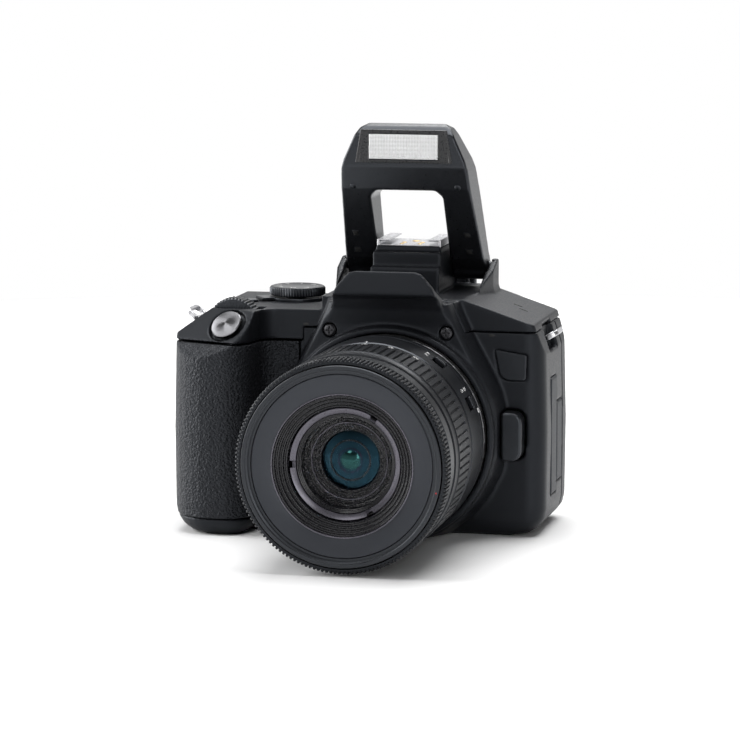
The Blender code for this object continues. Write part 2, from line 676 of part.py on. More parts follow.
def build_lens():
    flange = FLANGE_Y
    rim = THROAT_RADIUS - 0.7
    neck = THROAT_RADIUS - 6.5
    bore = THROAT_RADIUS - 8.9
    rear = [
        (bore, flange - 2), (rim, flange - 2), (rim, flange - 0.3), (neck, flange - 0.3),
        (neck, flange + 2.8), (bore, flange + 2.8),
    ]
    bayonet = lens_turned(rear, "lens_bayonet")
    lugs = lens_turned(
        [
            (neck - 1.3, flange + 1.9), (neck + 2.5, flange + 1.9), (neck + 2.5, flange + 2.7),
            (neck - 1.3, flange + 2.7),
        ],
    )
    star = []
    for k in range(3):
        for spread, radius in ((-25, 5), (-25, 60), (25, 60), (25, 5)):
            angle = math.radians(90 + 120 * k + spread)
            star.append((radius * math.cos(angle), AXIS_Z + radius * math.sin(angle)))
    keep(lugs, prism(star, "Y", flange, flange + 9))
    add(bayonet, lugs)
    pin_hole = [(0, -60), (PIN_RADIUS + 0.3, -60), (PIN_RADIUS + 0.3, -30), (0, -30)]
    cut(bayonet, turned(pin_hole, (PIN_X, 0, AXIS_Z), (0, 1, 0), 10))

    outer = LENS_RADIUS - 0.2
    sleeve = LENS_RADIUS - 2.0
    body = [
        (14, flange - 2.3), (outer - 0.8, flange - 2.3), (outer, flange - 3.2), (outer, ZOOM_REAR + SEAM),
        (sleeve, ZOOM_REAR + SEAM), (sleeve, ZOOM_FRONT + 2.5), (sleeve - 1, ZOOM_FRONT + 2.5),
        (sleeve - 1, flange - 6),
        (14, flange - 6),
    ]
    barrel = lens_turned(body, "lens_barrel")
    ring = sleeve + SEAM
    zoom = [(ring, ZOOM_REAR), (LENS_RADIUS, ZOOM_REAR), (LENS_RADIUS, ZOOM_FRONT), (ring, ZOOM_FRONT)]
    set_origin(lens_turned(zoom, "zoom_ring"), (0, (ZOOM_REAR + ZOOM_FRONT) / 2, AXIS_Z))

    front = LENS_FRONT
    skirt = ZOOM_FRONT - 0.5
    tube = sleeve - 1.4
    inner = [
        (tube - 1.4, flange - 26), (tube, flange - 26), (tube, skirt), (LENS_RADIUS - 0.8, skirt),
        (LENS_RADIUS - 0.8, front + 6.2), (sleeve, front + 6.2), (sleeve, front), (sleeve - 1.5, front),
        (sleeve - 1.8, front + 1.6), (sleeve - 2.7, front + 1.7), (sleeve - 8.2, front + 2.2),
        (18.6, front + 6.2), (15.6, front + 7.2), (15.6, front + 8.8), (14.7, front + 9.2),
        (14.7, front + 12.4), (13.4, front + 12.4), (13.4, front + 20), (17.6, front + 20),
        (17.6, front + 26), (tube - 1.4, front + 26),
    ]
    lens_turned(inner, "inner_barrel")
    focus = [
        (ring, front + 0.6), (LENS_RADIUS, front + 0.9), (LENS_RADIUS, front + 5.9),
        (ring, front + 5.9),
    ]
    set_origin(lens_turned(focus, "focus_ring"), (0, front + 3, AXIS_Z))
    glass = [
        (0, front + 7.6), (5, front + 7.85), (10, front + 8.7), (14.4, front + 10.2),
        (14.4, front + 12.1), (0, front + 12.1),
    ]
    lens_turned(glass, "front_element", 24)
    iris = [(5, front + 20.4), (17.2, front + 20.4), (17.2, front + 23), (5, front + 23)]
    lens_turned(iris, "iris_unit", 24)
    back_glass = [
        (0, flange - 1.9), (9, flange - 2.6), (13.7, flange - 3.4), (13.7, flange - 6),
        (0, flange - 6),
    ]
    lens_turned(back_glass, "rear_element", 24)

    middle = (flange + ZOOM_REAR) / 2 - 0.5
    for name, degrees in (("focus_mode_switch", 52), ("stabiliser_switch", 24)):
        turn = Matrix.Translation(Vector((0, 0, AXIS_Z)) * MM) @ Matrix.Rotation(
            math.radians(-degrees), 4, "Y",
        )
        slot = block((outer - 1.4, outer + 3), (middle - 4, middle + 4), (-2.3, 2.3))
        slot.data.transform(turn)
        cut(barrel, slot)
        key = bevel(
            block((outer - 1.1, outer + 0.7), (middle + 0.4, middle + 3.7), (-2.0, 2.0), name), 0.25,
            1,
        )
        key.data.transform(turn)
    return barrel


def build_flash():
    side = [
        (-7.5, 131.2), (-11.5, 130.4), (-14.3, 127.6), (-14.3, 117.5), (-11.5, 110), (3, 86), (6.7, 82.3),
        (7.3, 80.6), (8.8, 79.2), (11, 78.6), (13.4, 79.3), (15.1, 81.3), (15.3, 84), (13, 88), (5.5, 108),
        (-1.5, 122), (-5.5, 129.6),
    ]
    front = [(12.4, 131.2), (15.0, 129.8), (16.4, 127.6), (20.0, 119.6), (20.9, 116.4),
             (FLASH_HALF, 84), (FLASH_HALF, 74)]
    outline = front + [(-u, v) for u, v in reversed(front)]
    housing = prism(side, "X", -30, 30, "flash_housing")
    keep(housing, prism(outline, "Y", -40, 40))
    hole = FLASH_OPENING
    opening = [
        (hole, 60), (hole, 107.3), (hole - 2.2, 109.5), (2.2 - hole, 109.5), (-hole, 107.3),
        (-hole, 60),
    ]
    cut(housing, prism(opening, "Y", -40, 40))
    bevel(housing, 0.5, 1)
    cut(housing, block((-11.7, 11.7), (-30, -12.9), (119.6, 128.3)))
    cut(housing, block((-9.6, 9.6), (-30, -8.7), (121.2, 126.8)))
    for sign in (1, -1):
        pin = [(0, FLASH_HALF - 1), (TRUNNION_RADIUS, FLASH_HALF - 1), (TRUNNION_RADIUS, 25.0), (0, 25.0)]
        add(housing, turned(pin, (0, HINGE_Y, HINGE_Z), (sign, 0, 0), 12))
    window = bevel(block((-11.4, 11.4), (-15.3, -13.2), (119.9, 128.0), "flash_window"), 0.4, 1)
    tube = block((-9.3, 9.3), (-12.9, -9.0), (121.5, 126.5), "flash_tube")
    cut(tube, prism([(-20, 122.0), (-20, 126.0), (-10.6, 124.7), (-10.6, 123.3)], "X", -8.8, 8.8))
    for item in (housing, window, tube):
        set_origin(item, (0, HINGE_Y, HINGE_Z))


def build_shoe():
    profile = [
        (-10.6, 90.6), (10.6, 90.6), (10.6, 93.1), (6.4, 93.1), (6.4, 92.5), (9.7, 92.5), (9.7, 91.3),
        (-9.7, 91.3), (-9.7, 92.5), (-6.4, 92.5), (-6.4, 93.1), (-10.6, 93.1),
    ]
    return prism(profile, "Y", -6, BACK_Y - 3.5, "hot_shoe")


def build_top_controls(top):
    normal = Vector((-0.25, -0.66, 0.70)).normalized()
    spot = Vector((BODY_LEFT + 20.6, FRONT_Y - 10, TOP_Z - 4.5))
    boss = turned([(0, -4.6), (7.4, -4.6), (7.4, -1), (0, -1)], spot, normal, 20)
    add(top, keep(boss, block((-150, 150), (-150, 150), (GRIP_CAP_Z + 0.05, 150))))
    cut(
        top,
        turned(
            [(0, -8), (3.4, -8), (3.4, -2.2), (6.4, -2.2), (6.4, 0.6), (6.9, 5), (0, 5)], spot,
            normal, 24,
        ),
    )
    profile = [
        (0, -6.0), (4.4, -6.0), (4.4, -4.9), (3.1, -4.9), (3.1, -0.5), (5.2, -0.5), (5.2, 0.6),
        (4.6, 1.1), (0, 1.3),
    ]
    shutter = turned(profile, spot, normal, 24, "shutter_button")
    set_origin(shutter, spot)

    cut(top, block(
        (MAIN_DIAL_X - MAIN_DIAL_RADIUS - 0.5, MAIN_DIAL_X + MAIN_DIAL_RADIUS + 0.5),
        (MAIN_DIAL_Y - 3.4, MAIN_DIAL_Y + 3.4), (TOP_Z - 15.5, TOP_Z + 9),
    ))
    dial = [(1.2, -3), (MAIN_DIAL_RADIUS, -3), (MAIN_DIAL_RADIUS, 3), (1.2, 3)]
    axis = (MAIN_DIAL_X, MAIN_DIAL_Y, TOP_Z - MAIN_DIAL_RADIUS + 3.4)
    set_origin(turned(dial, axis, (0, 1, 0), 24, "main_dial"), axis)

    base = (MODE_DIAL_X, 0, TOP_Z)
    cut(
        top,
        turned([(0, -9), (3.3, -9), (3.3, -0.6), (10.6, -0.6), (10.6, 9), (0, 9)], base, (0, 0, 1), 32),
    )
    lever = turned(
        [(3.6, -0.3), (10.1, -0.3), (10.1, 0.9), (3.6, 0.9)], base, (0, 0, 1), 32, "power_switch",
    )
    tab = prism([(-13.6, -3.4), (-9, -3.6), (-9, 3.6), (-13.6, 3.4)], "Z", 0.3, 1.3)
    tab.data.transform(Matrix.Translation(Vector(base) * MM) @ Matrix.Rotation(math.radians(35), 4, "Z"))
    add(lever, tab)
    set_origin(lever, base)
    radius = MODE_DIAL_RADIUS
    knob = [(0, -4), (2.9, -4), (2.9, 1.4), (radius, 1.4), (radius, 4.0), (radius - 0.5, 4.4), (0, 4.4)]
    set_origin(turned(knob, base, (0, 0, 1), 32, "mode_dial"), base)

    spot = (BODY_LEFT + 22, -11, TOP_Z)
    cut(top, turned([(0, -9), (2.5, -9), (2.5, 9), (0, 9)], spot, (0, 0, 1), 16))
    press_piece("iso_button", spot, (0, 0, 1), 2.2, WALL)


def press_piece(name, spot, direction, radius, wall):
    """A push button with a flange behind its wall; its face stands up along direction."""
    flange = -wall - SEAM
    profile = [
        (0, flange - 1), (radius + 1, flange - 1), (radius + 1, flange), (radius, flange),
        (radius, BUTTON_RISE - 0.3), (radius - 0.3, BUTTON_RISE), (0, BUTTON_RISE),
    ]
    item = turned(profile, spot, direction, 12, name)
    return set_origin(item, spot)


def build_back(top, rear):
    wall = BACK_Y - CAVITY_BACK
    for name, x, z, radius in (
        ("menu_button", 36.5, 63.6, 2.1),
        ("info_button", 28.0, 63.6, 2.1),
        ("live_view_button", -21.5, 63.6, 2.1),
        ("exposure_lock_button", BODY_LEFT + 18, 57.0, 2.3),
        ("focus_point_button", BODY_LEFT + 9.5, 55.5, 2.3),
        ("exposure_button", BODY_LEFT + 33.0, 51.0, 2.3),
        ("playback_button", BODY_LEFT + 32.0, 16.0, 2.5),
        ("erase_button", BODY_LEFT + 14, 14.5, 2.3),
    ):
        spot = (x, BACK_Y, z)
        cut(rear, turned([(0, -20), (radius + 0.3, -20), (radius + 0.3, 9), (0, 9)], spot, (0, 1, 0), 16))
        press_piece(name, spot, (0, 1, 0), radius, wall)
    pad = (BODY_LEFT + 20.5, BACK_Y, 33.0)
    cut(
        rear,
        turned([(0, -20), (4.6, -20), (4.6, -1.5), (8.8, -1.5), (8.8, 9), (0, 9)], pad, (0, 1, 0), 24),
    )
    ring = [(4.3, -0.9), (8.4, -0.9), (8.4, 0.6), (7.9, 1.0), (4.3, 1.0)]
    set_origin(turned(ring, pad, (0, 1, 0), 24, "cross_keys"), pad)
    press_piece("set_button", pad, (0, 1, 0), 3.9, wall)

    low, high = SCREEN_LOW, SCREEN_HIGH
    panel_front = BACK_Y - 2.4
    panel = prism(
        rounded_box((SCREEN_LEFT, SCREEN_RIGHT), (low, high), 1.6), "Y", panel_front, BACK_Y + 3,
        "screen_panel",
    )
    bevel(panel, 0.5, 1)
    glass = rounded_box((SCREEN_LEFT + 4, SCREEN_RIGHT - 5), (low + 4, high - 5), 0.8)
    hole = rounded_box((SCREEN_LEFT + 3.7, SCREEN_RIGHT - 4.7), (low + 3.7, high - 4.7), 1.0)
    cut(panel, prism(hole, "Y", BACK_Y + 1.6, BACK_Y + 9))
    pane = prism(glass, "Y", BACK_Y + 1.9, BACK_Y + 2.9, "screen_glass")
    axis = (SCREEN_AXIS_X, SCREEN_AXIS_Y, (low + high) / 2)
    post = [(0, low + 8), (1.5, low + 8), (1.5, high - 8), (0, high - 8)]
    hinge = turned(post, (SCREEN_AXIS_X, SCREEN_AXIS_Y, 0), (0, 0, 1), 12, "screen_hinge")
    for item in (panel, pane, hinge):
        set_origin(item, axis)

    ring = prism(rounded_box((-17, 17), (67.2, 84.9), 3), "Y", BACK_Y + 2.8, BACK_Y + 7, "eyecup")
    bevel(ring, 1.0)
    cut(ring, prism(rounded_box((-9.4, 9.4), (72.8, 83.2), 2.5), "Y", 0, 60))
    wheel_spot = (-20, BACK_Y + 1, 72.0)
    cut(top, turned([(0, -3), (1.7, -3), (1.7, 9), (0, 9)], wheel_spot, (0, 1, 0), 12))
    wheel = [(0, -2.6), (1.4, -2.6), (1.4, 0.3), (3.1, 0.3), (3.1, 2.2), (0, 2.2)]
    set_origin(turned(wheel, wheel_spot, (0, 1, 0), 20, "diopter_wheel"), wheel_spot)


def paint_pieces():
    """Every piece gets a material of its own, from the look of its kind."""
    kinds = {name: kind for kind, names in FINISH_NAMES.items() for name in names}
    for item in bpy.data.objects:
        colour, rough, metal = FINISHES[kinds.get(item.name, "plastic")]
        material = bpy.data.materials.new(item.name + "_finish")
        material.use_nodes = True
        surface = material.node_tree.nodes["Principled BSDF"]
        surface.inputs["Base Color"].default_value = (*colour, 1)
        surface.inputs["Roughness"].default_value = rough
        surface.inputs["Metallic"].default_value = metal
        item.data.materials.clear()
        item.data.materials.append(material)
        item.data.shade_smooth()
        item.data.set_sharp_from_angle(angle=math.radians(30))


def build():
    clear_scene()
    front, top, rear = build_shells()
    build_base()
    build_rubber_flaps(front)
    build_lugs(front, top)
    build_front_details(front)
    build_mount()
    build_battery()
    build_lens()
    build_flash()
    build_shoe()
    build_top_controls(top)
    build_back(top, rear)
    paint_pieces()


build()
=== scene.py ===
"""Looks of the compact reflex camera: finishes, fine pieces, studio and view.

Sizes are millimetres unless a name or a heading says otherwise.
Every piece rides on the body that carries it.
"""

import math

import bmesh
import bpy
from mathutils import Matrix, Vector


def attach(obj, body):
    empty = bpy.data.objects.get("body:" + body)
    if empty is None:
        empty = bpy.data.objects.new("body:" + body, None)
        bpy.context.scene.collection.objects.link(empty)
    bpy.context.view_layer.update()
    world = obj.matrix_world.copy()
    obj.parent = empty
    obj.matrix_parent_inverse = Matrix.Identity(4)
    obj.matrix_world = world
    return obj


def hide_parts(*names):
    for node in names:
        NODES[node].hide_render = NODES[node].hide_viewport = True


MM = 0.001
AXIS_Z = 33.9
FLANGE_Y = -44.0
LENS_FRONT = -106.4
ZOOM_REAR = -66.1
ZOOM_FRONT = -90.6
LENS_RADIUS = 33.2
BODY_LEFT = -73.6
BODY_RIGHT = 48.8
FRONT_Y = -28.0
BACK_Y = 17.0
TOP_Z = 72.0
SHOE_Z = 91.3
KEYS_X = BODY_LEFT + 20.5
KEYS_Z = 33.0
FINGER_X = BODY_LEFT + 20.6
FINE = 192
POLE = 0.0005
WELD = 0.001
PRINT_RISE = 0.04
FINE_EDGE = 0.02
COOL_GLOSS = (0.84, 0.90, 1.0)

# Sockets of the Mix node, whose names repeat
MIX_VECTOR_A = 4
MIX_VECTOR_B = 5
MIX_COLOUR_A = 6
MIX_COLOUR_B = 7
MIX_VECTOR_OUT = 1
MIX_COLOUR_OUT = 2

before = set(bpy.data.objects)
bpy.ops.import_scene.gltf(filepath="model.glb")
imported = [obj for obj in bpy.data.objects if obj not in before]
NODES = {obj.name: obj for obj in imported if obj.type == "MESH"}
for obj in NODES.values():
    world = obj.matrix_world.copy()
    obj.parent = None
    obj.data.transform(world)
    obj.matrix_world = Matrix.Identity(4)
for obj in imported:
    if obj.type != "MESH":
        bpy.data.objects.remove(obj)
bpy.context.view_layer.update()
PAINT = {}


# Finishes


class Finish:
    """A Principled surface whose colour, roughness and bump follow a fine grain."""

    def __init__(self, name, colour, rough, metal=0.0):
        self.material = bpy.data.materials.new(name)
        self.material.use_nodes = True
        self.tree = self.material.node_tree
        self.shader = self.tree.nodes["Principled BSDF"]
        self.shader.inputs["Base Color"].default_value = (*colour, 1)
        self.shader.inputs["Roughness"].default_value = rough
        self.shader.inputs["Metallic"].default_value = metal
        self.colour = colour
        self.rough = rough
        self.place = self.node("ShaderNodeTexCoord").outputs["Object"]
        PAINT[name] = self.material

    def node(self, kind, **values):
        item = self.tree.nodes.new(kind)
        for key, value in values.items():
            setattr(item, key, value)
        return item

    def join(self, start, end):
        self.tree.links.new(start, end)

    def noise(self, size, detail=3.0, place=None):
        """Soft noise whose blotches are about size millimetres wide."""
        item = self.node("ShaderNodeTexNoise")
        item.inputs["Scale"].default_value = 1 / (size * MM)
        item.inputs["Detail"].default_value = detail
        self.join(place or self.place, item.inputs["Vector"])
        return item.outputs["Fac"]

    def spread(self, source, low, high):
        item = self.node("ShaderNodeMapRange")
        item.inputs["From Min"].default_value = 0.3
        item.inputs["From Max"].default_value = 0.7
        item.inputs["To Min"].default_value = low
        item.inputs["To Max"].default_value = high
        self.join(source, item.inputs["Value"])
        return item.outputs["Result"]

    def vary(self, size, tone=0.15, rough=0.06):
        """Lets colour and roughness drift a little."""
        source = self.noise(size)
        blend = self.node("ShaderNodeMix", data_type="RGBA")
        dark = [c * (1 - tone) for c in self.colour]
        light = [min(1, c * (1 + tone)) for c in self.colour]
        blend.inputs[MIX_COLOUR_A].default_value = (*dark, 1)
        blend.inputs[MIX_COLOUR_B].default_value = (*light, 1)
        self.join(source, blend.inputs[0])
        self.join(blend.outputs[MIX_COLOUR_OUT], self.shader.inputs["Base Color"])
        patch = self.spread(source, self.rough - rough, self.rough + rough)
        self.join(patch, self.shader.inputs["Roughness"])
        return self

    def raise_by(self, source, depth, strength=1.0):
        """Adds a bump of the given depth in millimetres on top of earlier ones."""
        bump = self.node("ShaderNodeBump")
        bump.inputs["Strength"].default_value = strength
        bump.inputs["Distance"].default_value = depth * MM
        self.join(source, bump.inputs["Height"])
        normal = self.shader.inputs["Normal"]
        if normal.is_linked:
            self.join(normal.links[0].from_socket, bump.inputs["Normal"])
        self.join(bump.outputs["Normal"], normal)
        return self

    def grain(self, size, depth, strength=1.0):
        return self.raise_by(self.noise(size, 4.0), depth, strength)

    def set(self, **values):
        for key, value in values.items():
            self.shader.inputs[key.replace("_", " ")].default_value = value
        return self


def leather(finish, cell, depth):
    """Wrinkled cells with soft creases between them."""
    warp = finish.node("ShaderNodeMix", data_type="VECTOR")
    warp.inputs[0].default_value = 0.0012
    drift = finish.node("ShaderNodeTexNoise")
    drift.inputs["Scale"].default_value = 1 / (1.6 * cell * MM)
    finish.join(finish.place, drift.inputs["Vector"])
    finish.join(finish.place, warp.inputs[MIX_VECTOR_A])
    finish.join(drift.outputs["Color"], warp.inputs[MIX_VECTOR_B])
    cells = finish.node("ShaderNodeTexVoronoi", feature="SMOOTH_F1")
    cells.inputs["Scale"].default_value = 1 / (cell * MM)
    cells.inputs["Smoothness"].default_value = 0.35
    finish.join(warp.outputs[MIX_VECTOR_OUT], cells.inputs["Vector"])
    turn = finish.node("ShaderNodeMath", operation="SUBTRACT")
    turn.inputs[0].default_value = 1.0
    finish.join(cells.outputs["Distance"], turn.inputs[1])
    finish.raise_by(turn.outputs[0], depth)
    return finish


def make_finishes():
    shell = Finish("body_plastic", (0.0060, 0.0065, 0.0080), 0.45).vary(0.5).grain(0.32, 0.02, 0.55)
    shell.set(Specular_IOR_Level=0.26)
    Finish("flash_plastic", (0.0062, 0.0065, 0.0076), 0.33).vary(0.5).grain(0.3, 0.015, 0.5)
    Finish("smooth_plastic", (0.0055, 0.0058, 0.0070), 0.30).vary(0.6, 0.1, 0.015).grain(0.5, 0.003, 0.08)
    Finish("lens_plastic", (0.008, 0.0082, 0.009), 0.36).vary(0.5).grain(0.25, 0.01, 0.5)
    Finish("name_plastic", (0.014, 0.0145, 0.0175), 0.44).vary(0.5, 0.1).grain(0.25, 0.01, 0.5)
    Finish("baffle", (0.013, 0.0128, 0.0155), 0.27, 0.1).vary(0.4, 0.12).grain(0.2, 0.004, 0.3)
    Finish("bright_ring", (0.11, 0.105, 0.125), 0.30, 0.6).vary(0.4, 0.1).grain(0.2, 0.006, 0.4)
    ring = Finish("ring_rubber", (0.0065, 0.0068, 0.008), 0.42).vary(0.4).grain(0.25, 0.01, 0.25)
    ring.set(Specular_IOR_Level=0.28)
    grip = Finish("grip_rubber", (0.0085, 0.0088, 0.0102), 0.48).vary(0.8, 0.25).set(Specular_IOR_Level=0.3)
    leather(grip, 0.78, 0.46).grain(0.22, 0.03, 0.5)
    Finish("soft_rubber", (0.0100, 0.0106, 0.0124), 0.58).vary(0.5).grain(0.3, 0.02, 0.6)
    Finish("bare_plate", (0.032, 0.033, 0.035), 0.34).vary(0.5, 0.1).grain(0.3, 0.01, 0.4)
    Finish("bezel", (0.014, 0.0145, 0.016), 0.30).vary(0.5, 0.1).grain(0.4, 0.008, 0.2)
    Finish("steel", (0.58, 0.58, 0.60), 0.30, 1.0).vary(0.5, 0.08, 0.05).grain(0.5, 0.005, 0.08)
    Finish("mount_steel", (0.22, 0.22, 0.23), 0.36, 1.0).vary(0.5, 0.08, 0.03).grain(0.5, 0.004, 0.08)
    Finish("dark_steel", (0.05, 0.05, 0.055), 0.35, 0.7).vary(0.4, 0.1).grain(0.25, 0.008, 0.5)
    spun = Finish("spun_metal", (0.20, 0.20, 0.21), 0.30, 1.0).vary(0.3, 0.06, 0.03).set(Anisotropic=0.85)
    around = spun.node("ShaderNodeTangent", direction_type="RADIAL", axis="Z")
    spun.join(around.outputs[0], spun.shader.inputs["Tangent"])
    Finish("white_paint", (0.72, 0.72, 0.72), 0.5).vary(0.3, 0.05).grain(0.2, 0.004, 0.4)
    Finish("grey_paint", (0.30, 0.30, 0.31), 0.5).vary(0.3, 0.08).grain(0.2, 0.004, 0.4)
    Finish("red_paint", (0.45, 0.012, 0.012), 0.45).vary(0.3, 0.08).grain(0.2, 0.004, 0.4)
    # Matte black of the real inner parts; on the hole and slit tiles it is painted shade.
    Finish("inner_black_and_hole_shade", (0.004, 0.004, 0.0042), 0.6).vary(0.5).grain(0.3, 0.01, 0.5)
    display = Finish("screen", (0.006, 0.006, 0.0075), 0.06).vary(2.0, 0.1, 0.02).grain(3.0, 0.002, 0.2)
    display.set(Coat_Weight=0.6)
    Finish("mirror", (0.82, 0.83, 0.85), 0.05, 1.0).vary(2.0, 0.03, 0.02)
    Finish("gold", (0.72, 0.52, 0.22), 0.30, 1.0).vary(0.4, 0.08, 0.04).grain(0.4, 0.004, 0.08)
    Finish("circuit", (0.012, 0.05, 0.022), 0.45).vary(0.6, 0.3).grain(0.5, 0.02, 0.5)
    window = Finish("flash_lens", (0.97, 0.975, 0.98), 0.14).vary(0.5, 0.03, 0.04).grain(0.3, 0.006, 0.4)
    window.set(Transmission_Weight=0.25, IOR=1.49)
    clear = Finish("front_glass", (0.002, 0.004, 0.007), 0.05).vary(4.0, 0.1, 0.015)
    clear.set(Specular_IOR_Level=0.0, Alpha=0.04)
    # The inner glass is opaque: its near-black body is painted shade for the dark lens inside seen through
    # clear glass, while its tinted reflections of the lamps are real.
    for name, base, sheen, level in (
        ("middle_glass", (0.0006, 0.0014, 0.0026), (0.25, 0.7, 1.0), 0.34),
        ("deep_glass", (0.0006, 0.003, 0.0045), (0.3, 0.95, 0.9), 0.5),
        ("rim_glass", (0.003, 0.001, 0.003), (0.6, 0.22, 0.5), 0.5),
    ):
        glass = Finish(name, base, 0.11).vary(3.0, 0.2, 0.02)
        glass.set(IOR=1.7, Specular_IOR_Level=level)
        glass.shader.inputs["Specular Tint"].default_value = (*sheen, 1)
    plastics = ("body_plastic", "flash_plastic", "smooth_plastic", "lens_plastic", "name_plastic")
    for name in plastics + ("ring_rubber", "grip_rubber", "soft_rubber"):
        shader = PAINT[name].node_tree.nodes["Principled BSDF"]
        shader.inputs["Specular Tint"].default_value = (*COOL_GLOSS, 1)


# Mesh tools


def place_mesh(bm, name, paint, sharp=35):
    bmesh.ops.remove_doubles(bm, verts=bm.verts, dist=WELD * MM)
    bmesh.ops.recalc_face_normals(bm, faces=bm.faces)
    if bm.calc_volume(signed=True) < 0:
        bmesh.ops.reverse_faces(bm, faces=bm.faces)
    mesh = bpy.data.meshes.new(name)
    bm.to_mesh(mesh)
    bm.free()
    mesh.shade_smooth()
    mesh.set_sharp_from_angle(angle=math.radians(sharp))
    mesh.materials.append(PAINT[paint])
    item = bpy.data.objects.new(name, mesh)
    bpy.context.scene.collection.objects.link(item)
    return item


def pose(origin, direction=(0, 0, 1), spin=0.0):
    turn = Vector(direction).to_track_quat("Z", "Y").to_matrix().to_4x4()
    return Matrix.Translation(Vector(origin) * MM) @ turn @ Matrix.Rotation(spin, 4, "Z")


LENS = Matrix.Translation(Vector((0, 0, AXIS_Z)) * MM) @ Matrix.Rotation(math.radians(-90), 4, "X")


def around_lens(degrees, y, radius):
    """Frame on the barrel: its Z points out, its Y runs to the rear."""
    angle = math.radians(degrees)
    out = Vector((math.cos(angle), 0, math.sin(angle)))
    rear = Vector((0, 1, 0))
    side = rear.cross(out)
    spot = out * radius + Vector((0, y, AXIS_Z))
    turn = Matrix((side, rear, out)).transposed().to_4x4()
    return Matrix.Translation(spot * MM) @ turn


def turned_to_back(where):
    """The same spot, with upright characters that face +Y."""
    across = Vector((-1, 0, 0))
    up = Vector((0, 0, 1))
    out = Vector((0, 1, 0))
    turn = Matrix((across, up, out)).transposed().to_4x4()
    return Matrix.Translation(where.translation) @ turn


def behind_front(*pairs):
    """(radius, depth) pairs, with each depth counted from the front plane of the lens."""
    return [(radius, LENS_FRONT + depth) for radius, depth in pairs]


def stepped(section, radius, depth, count, inwards, rearwards):
    """Repeats a small section of (pull, drop) pairs, each time further in and further back."""
    points = []
    for _ in range(count):
        points += [(radius - pull, depth + drop) for pull, drop in section]
        radius -= inwards
        depth += rearwards
    return points


def lathe(name, profile, paint, where=LENS, steps=FINE, relief=None, sharp=35):
    """Turns (radius, height) pairs; relief(angle, height, radius) returns a cut into the radius."""
    bm = bmesh.new()
    rings = []
    for radius, height in profile:
        ring = []
        for k in range(steps):
            angle = 2 * math.pi * k / steps
            reach = radius - (relief(angle, height, radius) if relief else 0)
            across = reach * MM * math.cos(angle)
            along = reach * MM * math.sin(angle)
            ring.append(bm.verts.new((across, along, height * MM)))
        rings.append(ring)
    closed = profile[0][0] > WELD
    pairs = list(zip(rings, rings[1:]))
    if closed:
        pairs.append((rings[-1], rings[0]))
    for low, high in pairs:
        for k in range(steps):
            j = (k + 1) % steps
            bm.faces.new((low[k], low[j], high[j], high[k]))
    bm.transform(where)
    return place_mesh(bm, name, paint, sharp)


def loft(name, loops, paint, where=None, sharp=35):
    bm = bmesh.new()
    rings = [[bm.verts.new(Vector(point) * MM) for point in loop] for loop in loops]
    for low, high in zip(rings, rings[1:]):
        for k in range(len(low)):
            j = (k + 1) % len(low)
            bm.faces.new((low[k], low[j], high[j], high[k]))
    bm.faces.new(rings[0])
    bm.faces.new(rings[-1])
    if where:
        bm.transform(where)
    return place_mesh(bm, name, paint, sharp)


def rounded_outline(half_u, half_v, radius, steps=6):
    outline = []
    for quarter, (su, sv) in enumerate(((1, 1), (-1, 1), (-1, -1), (1, -1))):
        for k in range(steps + 1):
            angle = math.radians(90 * (quarter + k / steps))
            outline.append(
                (
                    su * (half_u - radius) + radius * math.cos(angle),
                    sv * (half_v - radius) + radius * math.sin(angle),
                )
            )
    return outline


def tile(name, half_u, half_v, thick, radius, paint, where, edge=FINE_EDGE):
    """A plate with a rounded outline and an eased upper edge; its top is at height thick."""
    loops = []
    for height, pull in ((0, 0), (thick - edge, 0), (thick - 0.3 * edge, 0.3 * edge), (thick, edge)):
        outline = rounded_outline(half_u - pull, half_v - pull, max(radius - pull, 0.02))
        loops.append([(u, v, height) for u, v in outline])
    return loft(name, loops, paint, where)


def label(name, text, size, paint, where):
    """Flat printed characters that stand a little above their spot."""
    curve = bpy.data.curves.new(name, "FONT")
    curve.body = text
    curve.size = size * MM
    curve.align_x = "CENTER"
    curve.align_y = "CENTER"
    curve.extrude = PRINT_RISE * MM
    draft = bpy.data.objects.new(name + "_draft", curve)
    bpy.context.scene.collection.objects.link(draft)
    bpy.context.view_layer.update()
    mesh = bpy.data.meshes.new_from_object(draft.evaluated_get(bpy.context.evaluated_depsgraph_get()))
    bpy.data.objects.remove(draft)
    mesh.transform(where)
    mesh.materials.clear()
    mesh.materials.append(PAINT[paint])
    item = bpy.data.objects.new(name, mesh)
    bpy.context.scene.collection.objects.link(item)
    return item


def give(item, body, slot, *nodes):
    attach(item, body)
    if nodes:
        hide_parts(*nodes)
    return item


def soften(node, cell, rounds, paint, share=1.0):
    """Eases the moulded edges of a solid."""
    item = NODES[node]
    item.data.materials.clear()
    item.data.materials.append(PAINT[paint])
    grid = item.modifiers.new("grid", "REMESH")
    grid.mode = "VOXEL"
    grid.voxel_size = cell * MM
    grid.use_smooth_shade = True
    ease = item.modifiers.new("ease", "SMOOTH")
    ease.factor = 0.5
    ease.iterations = rounds
    if share < 1:
        thin = item.modifiers.new("thin", "DECIMATE")
        thin.ratio = share
    return item


# Body


